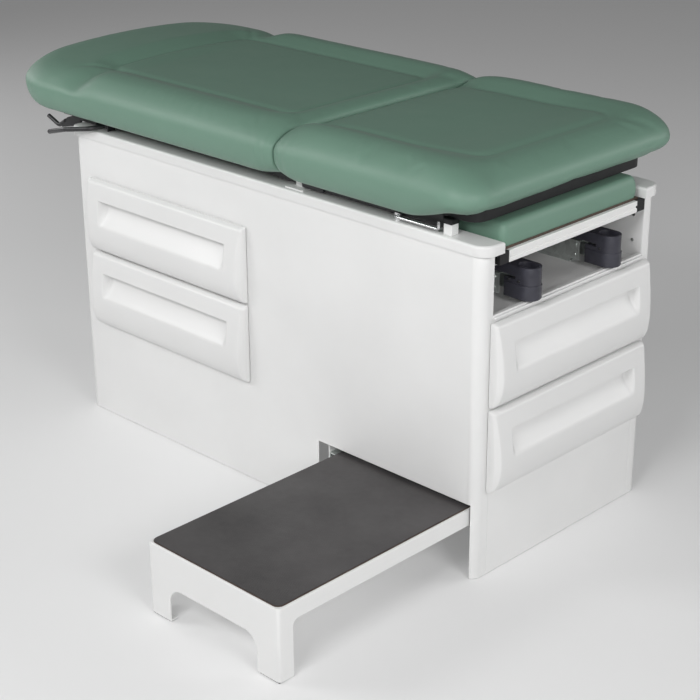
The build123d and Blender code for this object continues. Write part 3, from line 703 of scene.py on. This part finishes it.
def pinch(co):
    """Both pads draw in a little at the fold, at the sides and underneath."""
    near_fold = hill(co[:, 0], FOLD_X, PINCH_REACH)
    wide = np.abs(co[:, 1])
    co[:, 1] -= np.sign(co[:, 1]) * PINCH * near_fold * smooth(PINCH_FROM_Y, HALF_W, wide)
    outer = smooth(PINCH_UNDER_FROM_Y, HALF_W, np.abs(co[:, 1]))
    co[:, 2] += PINCH_UNDER * near_fold * share_down(co[:, 2]) * outer
    return co


def shape_back(co):
    """The back's side bolsters, head pillow, sunk panel and the roll at the fold."""
    x, y, z = co.T.copy()
    wide = np.abs(y)
    pillow = smooth(*PILLOW_X, x)
    height = np.full(len(x), -BACK_DROP)
    height += pillow * (PILLOW_RISE - PILLOW_FALL * (wide / PILLOW_HALF_W) ** 2)
    height -= SADDLE_DEPTH * hill(x, SADDLE_X, SADDLE_LENGTH) * smooth(*SADDLE_Y, wide)
    sunk, inside = panel_mask(x, y, BACK_PANEL_X, BACK_PANEL_CORNER, BACK_PANEL_WALL)
    height -= BACK_PANEL_DEPTH * sunk
    height -= BACK_CREASE_DEPTH * hill(inside, CREASE_INSET, BACK_CREASE_W)
    height += PANEL_CROWN * smooth(*BACK_CROWN_INSIDE, inside)
    height -= BACK_FOLD_DEPTH * (1 - dome((FOLD_X - x) / BACK_FOLD_REACH))
    height += ROLL_RISE * hill(x, ROLL_X, ROLL_LENGTH) * smooth(*ROLL_Y, wide)
    co[:, 2] = z + share_up(z) * height
    return pinch(co)


def shape_seat(co):
    """The seat's side bolsters, its sunk panel and the long slope of the foot end."""
    x, y, z = co.T.copy()
    wide = np.abs(y)
    height = SEAT_RISE * smooth(*SEAT_RISE_X, x)
    depth = SEAT_PANEL_DEPTH - SEAT_PANEL_EASE * smooth(*SEAT_PANEL_EASE_X, x)
    sunk, inside = panel_mask(x, y, SEAT_PANEL_X, SEAT_PANEL_CORNER, SEAT_PANEL_WALL)
    height -= depth * sunk
    crease = hill(inside, CREASE_INSET, SEAT_CREASE_W)
    height -= SEAT_CREASE_DEPTH * crease * smooth(*SEAT_CREASE_X, x)
    height += PANEL_CROWN * smooth(*SEAT_CROWN_INSIDE, inside)
    fold_depth = SEAT_FOLD_SIDE_DEPTH * smooth(*SEAT_FOLD_SIDE_Y, wide) + SEAT_FOLD_DEPTH
    height -= fold_depth * (1 - dome((x - FOLD_X) / SEAT_FOLD_REACH))
    co[:, 2] = z + share_up(z) * height
    lift = FOOT_LIFT * smooth(*FOOT_LIFT_X, x)
    on_board = smooth(*BOARD_END_X, x) * smooth(*BOARD_SIDE_Y, wide)
    co[:, 2] += share_down(z) * (lift + (np.minimum(lift, BOARD_LIFT) - lift) * on_board)
    return pinch(co)


def inflate(obj):
    """How far cloth pressure moves each point of the pad, kept under FILL_LIMIT."""
    rest = points_of(obj)
    cloth = obj.modifiers.new("cloth", "CLOTH")
    cloth.settings.quality = 4
    cloth.settings.use_pressure = True
    cloth.settings.uniform_pressure_force = FILL_PRESSURE
    cloth.settings.tension_stiffness = 12.0
    cloth.settings.compression_stiffness = 12.0
    cloth.settings.bending_stiffness = 1.5
    cloth.settings.effector_weights.gravity = 0.0
    cloth.collision_settings.use_collision = False
    scene = bpy.context.scene
    for step in range(1, FILL_FRAMES + 1):
        scene.frame_set(step)
    apply_modifiers(obj)
    scene.frame_set(1)
    move = points_of(obj) - rest
    length = np.linalg.norm(move, axis=1)
    kept = FILL_LIMIT * np.tanh(length / FILL_LIMIT) / np.maximum(length, 1e-9)
    return rest, move * kept[:, None]


def fold_wrinkles(co, side):
    """Short upright wrinkles on the pad's long sides beside the fold; side is +1 for the seat."""
    x, y, z = co.T.copy()
    reach = np.clip(side * (x - FOLD_X), 0.0, None)
    wave = np.sin(tau * reach / (WRINKLE_PITCH + WRINKLE_SPREAD * reach) + WRINKLE_PHASE)
    fade = np.exp(-reach / WRINKLE_REACH) * smooth(*WRINKLE_Y, np.abs(y))
    fade = fade * smooth(*WRINKLE_LOW_Z, z) * smooth(*WRINKLE_HIGH_Z, z)
    co[:, 1] += np.sign(y) * WRINKLE_DEPTH * wave * fade
    return co


def head_dart(co):
    """The side creases of the back run on a little past the panel's head corners."""
    x, y, z = co.T.copy()
    across = np.abs(y) - (DART_Y + DART_SLANT * np.clip(DART_X - x, 0.0, None))
    along = smooth(*DART_HEAD_X, x) * smooth(*DART_FOOT_X, x)
    co[:, 2] -= share_up(z) * DART_DEPTH * hill(across, 0.0, DART_W) * along
    return co


def upholstered(name, ends, inset_scales, radii, shape, side):
    """One main pad, from its even mesh to its wrinkles; side is -1 for the back, 1 for the seat."""
    obj = pad_body(name, ends, HALF_W, radii, inset_scales, (PAD_BOTTOM_Z, WIDEST_Z, CREST_Z),
                   (SIDE_ROUND, UNDER_ROUND))
    even_mesh(obj, PAD_VOXEL)
    set_points(obj, shape(points_of(obj)))
    rest, move = inflate(obj)
    move[:, 0] *= smooth(*FILL_FROM_FOLD, np.abs(rest[:, 0] - FOLD_X))
    move[:, 2] *= smooth(*FILL_Z, rest[:, 2])
    co = rest + move
    co[:, 2] -= SETTLE * share_up(rest[:, 2])
    set_points(obj, co)
    co = fold_wrinkles(points_of(obj), side)
    if side < 0:
        co = head_dart(co)
    set_points(obj, co)
    add_subdivision(obj)
    apply_modifiers(obj)
    dress(obj, "green_vinyl")
    return obj


def main_pads():
    """The back bends over the hinge where it meets the seat; the seat follows its own frame."""
    back = upholstered("back_cushion", (HEAD_X, FOLD_X - FOLD_GAP), BACK_INSET_SCALES,
                       (HEAD_CORNER_R, FOLD_CORNER_R), shape_back, -1)
    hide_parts("back_pad", "back_fold_roll")
    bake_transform(back)
    seat = upholstered("seat_cushion", (FOLD_X + FOLD_GAP, FOOT_X), SEAT_INSET_SCALES,
                       (FOLD_CORNER_R, FOOT_CORNER_R), shape_seat, 1)
    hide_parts("seat_pad")
    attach(seat, "seat")


def shaded_seat_board():
    """The seat board as a black sheet that rises to fill the gap behind the raised foot end:
    painted shade.
    """
    xs, zs = zip(*SHADE_SHEET_TOP)
    outline = ring(xs[0], xs[-1], SHADE_SHEET_HALF_W, *SHADE_SHEET_CORNER_RS, FEW)
    count = len(outline)
    verts = [(x, y, SHADE_SHEET_BOTTOM_Z) for x, y in outline]
    verts += [(x, y, float(np.interp(x, xs, zs))) for x, y in outline]
    under, over = level_ring(0, count), level_ring(1, count)
    faces = wall(under, over) + [tuple(under), tuple(over)]
    obj = mesh_object("seat_board_shade_sheet", verts, faces)
    smooth_by_angle(obj, degrees=40)
    add_bevel(obj, 0.0012)
    # Black as painted shade for the gap under the seat's foot end.
    dress(obj, "black_plastic")
    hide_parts("seat_board")
    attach(obj, "seat")


def leg_pad():
    """Boxed leg cushion with a rounded top edge and a slight crown."""
    low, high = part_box("leg_rest_pad")
    heights = (low.z - LEG_SAG, low.z + LEG_WIDEST, high.z - LEG_TOP_DROP)
    obj = pad_body("leg_cushion", (low.x, high.x), high.y, LEG_CORNER_RS, (1.0, 1.0), heights,
                   (LEG_TOP_ROUND, LEG_UNDER_ROUND), FEW)
    even_mesh(obj, LEG_VOXEL)
    co = points_of(obj)
    x, y, z = co.T.copy()
    top = np.clip((z - low.z) / (high.z - low.z), 0, 1)
    edge = np.minimum(high.x - x, high.y - np.abs(y))
    co[:, 2] += LEG_CROWN * top * smooth(0.0, 0.10, edge)
    co[:, 0] -= LEG_TUCK * smooth(high.x - 0.02, high.x, x) * hill(z, low.z, 0.010)
    set_points(obj, co)
    add_subdivision(obj)
    dress(obj, "green_vinyl")
    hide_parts("leg_rest_pad")
    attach(obj, "leg_rest")


# ================================================================ drawer fronts
def front_face(v, height):
    """How far the face stands out at height v: thin at the top, a belly, rolled under below."""
    belly = BELLY_SHARE * height
    upper = np.clip((v - belly) / (height - belly), 0, 1)
    lower = np.clip((belly - v) / belly, 0, 1)
    over = FRONT_TOP + (FRONT_BELLY - FRONT_TOP) * (1 - upper ** UPPER_FULLNESS)
    roll = np.sqrt(1 - lower ** LOWER_FULLNESS)
    under = FRONT_BOTTOM + (FRONT_BELLY - FRONT_BOTTOM) * roll
    return np.where(v >= belly, over, under)


def front_relief(u, v, half, height):
    """Depth of the whole front over its back plane, with the finger recess carved in."""
    face = front_face(v, height)
    low, top = height - GRIP_BOTTOM, height - GRIP_TOP
    flat_to = top - GRIP_FLAT
    scoop = np.clip((flat_to - v) / (flat_to - low), 0, 1)
    lip = front_face(np.array([low - LIP_BELOW]), height)[0]
    deep = GRIP_BACK + (lip - GRIP_BACK) * scoop ** SCOOP_FULLNESS
    blend_lip = smooth(low - LIP_BLEND[0], low + LIP_BLEND[1], v)
    from_end = half - GRIP_MARGIN - np.abs(u)
    end_wall = smooth(0.0, 1.0, np.clip(from_end / GRIP_WALL, 0, 1) ** WALL_FULLNESS)
    inside = (v < top) * blend_lip * end_wall
    relief = face + (np.minimum(deep, face) - face) * inside
    end = END_ROUND * (0.45 + 0.55 * (face - FRONT_TOP) / (FRONT_BELLY - FRONT_TOP))
    end = np.maximum(end, LEAST_END_ROUND)
    side = np.clip((half - np.abs(u)) / end, 0, 1)
    crown = np.clip((height - v) / CROWN_ROUND, 0, 1)
    drop = end * (1 - side) ** END_FULLNESS + CROWN_ROUND * (1 - crown) ** CROWN_FULLNESS
    return np.maximum(relief - drop, FRONT_EDGE)


def stations(marks, step):
    """Sorted positions that hit every mark, no further apart than step."""
    out = [marks[0]]
    for a, b in zip(marks[:-1], marks[1:]):
        n = max(1, int(np.ceil((b - a) / step)))
        out += list(np.linspace(a, b, n + 1)[1:])
    return np.array(out)


def front_lines(half, height):
    """The lines of the front's mesh along its width and its height."""
    grip = half - GRIP_MARGIN
    top = height - GRIP_TOP
    ends = [grip + mark for mark in GRIP_END_LINES] + [half - mark for mark in END_LINES]
    levels = list(BOTTOM_LINES) + [top + mark for mark in GRIP_TOP_LINES]
    levels += [height - mark for mark in CROWN_LINES]
    return stations([-end for end in ends[::-1]] + ends, ALONG_STEP), stations(levels, UP_STEP)


def front_mesh(half, height):
    """Points (along, out, up) and faces of a closed front that stands on its back plane."""
    us, vs = front_lines(half, height)
    grid_u, grid_v = np.meshgrid(us, vs, indexing="ij")
    depth = front_relief(grid_u, grid_v, half, height)
    top = height - GRIP_TOP
    behind_lip = smooth(top - 0.0090, top - 0.0008, grid_v) * (grid_v < top - 0.0001)
    between_ends = smooth(0.0, 0.010, half - GRIP_MARGIN - np.abs(grid_u))
    grid_v += GRIP_UNDERCUT * behind_lip * between_ends
    n, m = len(us), len(vs)
    front = np.stack([grid_u, depth, grid_v], -1).reshape(-1, 3)
    faces = [(i * m + j, (i + 1) * m + j, (i + 1) * m + j + 1, i * m + j + 1)
             for i in range(n - 1) for j in range(m - 1)]
    rim = [i * m for i in range(n)] + [(n - 1) * m + j for j in range(1, m)]
    rim += [i * m + m - 1 for i in range(n - 2, -1, -1)] + list(range(m - 2, 0, -1))
    layers, loops = [front], [rim]
    for out, inset in RIM_STEPS:
        layer = front[rim].copy()
        layer[:, 0] = np.clip(layer[:, 0], inset - half, half - inset)
        layer[:, 1] = out
        layer[:, 2] = np.clip(layer[:, 2], inset, height - inset)
        first = len(front) + (len(layers) - 1) * len(rim)
        layers.append(layer)
        loops.append(range(first, first + len(rim)))
        faces += wall(loops[-2], loops[-1])
    faces.append(tuple(loops[-1]))
    return np.vstack(layers), faces


def drawer_front(node, body, facing):
    """Moulded drawer front with a finger recess; facing is "side" or "foot"."""
    low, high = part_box(node)
    width = high.x - low.x if facing == "side" else high.y - low.y
    local, faces = front_mesh(width / 2, high.z - low.z)
    if facing == "side":
        origin = ((low.x + high.x) / 2, high.y, low.z)
        verts = np.stack([local[:, 0], -local[:, 1], local[:, 2]], -1) + origin
    else:
        origin = (low.x, 0.0, low.z)
        verts = np.stack([local[:, 1], local[:, 0], local[:, 2]], -1) + origin
    obj = mesh_object(node + "_moulding", verts, faces)
    smooth_by_angle(obj, degrees=50)
    dress(obj, "white_moulding")
    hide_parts(node)
    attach(obj, body)


def drawer_fronts():
    """The two fronts in the near side, then the two in the foot end."""
    for name in ("upper_side_drawer", "lower_side_drawer"):
        drawer_front(name + "_front", name, "side")
    for name in ("upper_foot_drawer", "lower_foot_drawer"):
        drawer_front(name + "_front", name, "foot")


# ================================================================ small trims
def band(name, outer, inner, low, high):
    """A closed ring of rectangular section between two outlines with the same count."""
    count = len(outer)
    verts = [(x, y, z) for outline, z in ((outer, low), (outer, high), (inner, high), (inner, low))
             for x, y in outline]
    faces = []
    for level in range(4):
        faces += wall(level_ring(level, count), level_ring((level + 1) % 4, count))
    obj = mesh_object(name, verts, faces)
    smooth_by_angle(obj, degrees=40)
    return obj


def shifted(outline, dy):
    """An outline moved along Y."""
    return [(x, y + dy) for x, y in outline]


def mat_edging():
    """The mat's brown backing, which shows as a thin line round it."""
    low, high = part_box("step_mat")
    middle_y = (low.y + high.y) / 2
    half = (high.y - low.y) / 2
    outer, inner = (shifted(ring(low.x - grow, high.x + grow, half + grow, MAT_CORNER_R + grow,
                                 MAT_CORNER_R + grow, FEW), middle_y)
                    for grow in MAT_EDGE_GROW)
    obj = band("step_mat_edging", outer, inner, low.z + 0.0001, high.z - 0.0012)
    dress(obj, "plywood")
    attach(obj, "step")


def heel_cup_details(side):
    """The proud lower half of a heel cup, and its screws: two outside and one inside."""
    node = side + "_heel_cup"
    low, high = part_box(node)
    middle_y = (low.y + high.y) / 2
    half = (high.y - low.y) / 2
    outer, inner = (shifted(ring(CUP_BAND_X - grow, high.x + grow, half + grow, 0.003,
                                 half + grow - 0.0002, FEW), middle_y)
                    for grow in CUP_BAND_GROW)
    obj = band(side + "_heel_cup_band", outer, inner, low.z + CUP_BAND_Z[0],
               low.z + CUP_BAND_Z[1])
    add_bevel(obj, 0.0010)
    dress(obj, "charcoal_plastic")
    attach(obj, node)
    outward = -1 if side == "near" else 1
    screws = ((SCREW_X[0], outward), (SCREW_X[1], outward), (SCREW_X[1], -outward))
    for i, (x, face) in enumerate(screws):
        centre = Vector((CUP_BAND_X + x, middle_y + face * half, low.z + SCREW_Z))
        screw_head(f"{side}_heel_cup_screw_{i}", centre, face, node)


def screw_head(name, centre, face, body):
    """A low domed head on a face that looks along Y."""
    turns = [tau * k / SCREW_SIDES for k in range(SCREW_SIDES)]
    verts = [(centre.x + r * cos(turn), centre.y + face * out, centre.z + r * sin(turn))
             for r, out in SCREW_RINGS for turn in turns]
    rings = [level_ring(level, SCREW_SIDES) for level in range(len(SCREW_RINGS))]
    faces = []
    for lower, upper in zip(rings[:-1], rings[1:]):
        faces += wall(lower, upper)
    faces += [tuple(rings[0]), tuple(rings[-1])]
    obj = mesh_object(name, verts, faces)
    smooth_by_angle(obj, degrees=50)
    dress(obj, "black_steel")
    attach(obj, body)


# ================================================================ light, floor, camera
def aim(obj, target):
    """Points an object's -Z at a target."""
    direction = Vector(target) - obj.location
    obj.rotation_euler = direction.to_track_quat("-Z", "Y").to_euler()


def soft_light(name, azimuth, elevation, distance, size, power):
    """An area light; azimuth 0 is the near side and 90 the foot end."""
    light = bpy.data.lights.new(name, "AREA")
    light.shape = "RECTANGLE"
    light.size, light.size_y = size
    light.energy = power
    obj = bpy.data.objects.new(name, light)
    bpy.context.scene.collection.objects.link(obj)
    a, e = radians(azimuth), radians(elevation)
    obj.location = LIGHT_AIM + distance * Vector((sin(a) * cos(e), -cos(a) * cos(e), sin(e)))
    aim(obj, LIGHT_AIM)


def studio_floor():
    """Pale floor with a faint mottle, a little bright by itself."""
    corners = [(-1, -1), (1, -1), (1, 1), (-1, 1)]
    floor = mesh_object("studio_floor", [(FLOOR_HALF * x, FLOOR_HALF * y, 0) for x, y in corners],
                        [(0, 1, 2, 3)])
    paint = Paint("studio_floor", (0.66, 0.66, 0.66), 0.9, Emission_Color=(1.0, 1.0, 1.0, 1.0),
                  Emission_Strength=FLOOR_GLOW)
    paint.feed(paint.ramp(paint.noise(0.8, 2.0), (0.65, 0.65, 0.65), (0.67, 0.67, 0.67)),
               "Base Color")
    floor.data.materials.append(paint.material)


def studio_sky():
    """A bright horizon that darkens overhead."""
    world = bpy.data.worlds.new("studio")
    bpy.context.scene.world = world
    world.use_nodes = True
    nodes, links = world.node_tree.nodes, world.node_tree.links
    place = nodes.new("ShaderNodeTexCoord")
    separate = nodes.new("ShaderNodeSeparateXYZ")
    ramp = nodes.new("ShaderNodeValToRGB")
    horizon, overhead = ramp.color_ramp.elements
    horizon.position = SKY_BRIGHT_UP_TO
    horizon.color = (1.0, 1.0, 1.0, 1.0)
    overhead.position = SKY_DARK_FROM
    overhead.color = (0.06, 0.06, 0.062, 1.0)
    links.new(place.outputs["Generated"], separate.inputs["Vector"])
    links.new(separate.outputs["Z"], ramp.inputs["Fac"])
    background = nodes["Background"]
    links.new(ramp.outputs["Color"], background.inputs["Color"])
    background.inputs["Strength"].default_value = SKY_STRENGTH


def studio():
    """Floor, sky and soft lights from the front, with two fills from behind."""
    studio_floor()
    studio_sky()
    for light in LIGHTS:
        soft_light(*light)
    bpy.context.scene.view_settings.view_transform = "Standard"


def photo_camera():
    """The camera at the viewing angle of the reference."""
    data = bpy.data.cameras.new("camera")
    data.sensor_width = CAMERA_SENSOR
    data.lens = CAMERA_LENS
    data.clip_end = CAMERA_REACH
    camera = bpy.data.objects.new("camera", data)
    bpy.context.scene.collection.objects.link(camera)
    az, el = CAMERA_AZIMUTH, CAMERA_ELEVATION
    back = Vector((sin(az) * cos(el), -cos(az) * cos(el), sin(el)))
    turn = (-back).to_track_quat("-Z", "Y").to_matrix() @ Matrix.Rotation(CAMERA_ROLL, 3, "Z")
    camera.matrix_world = Matrix.Translation(CAMERA_AIM + CAMERA_DISTANCE * back) @ turn.to_4x4()
    bpy.context.scene.camera = camera


dress_cad_nodes()
main_pads()
shaded_seat_board()
leg_pad()
drawer_fronts()
mat_edging()
for cup_side in ("near", "far"):
    heel_cup_details(cup_side)
studio()
photo_camera()
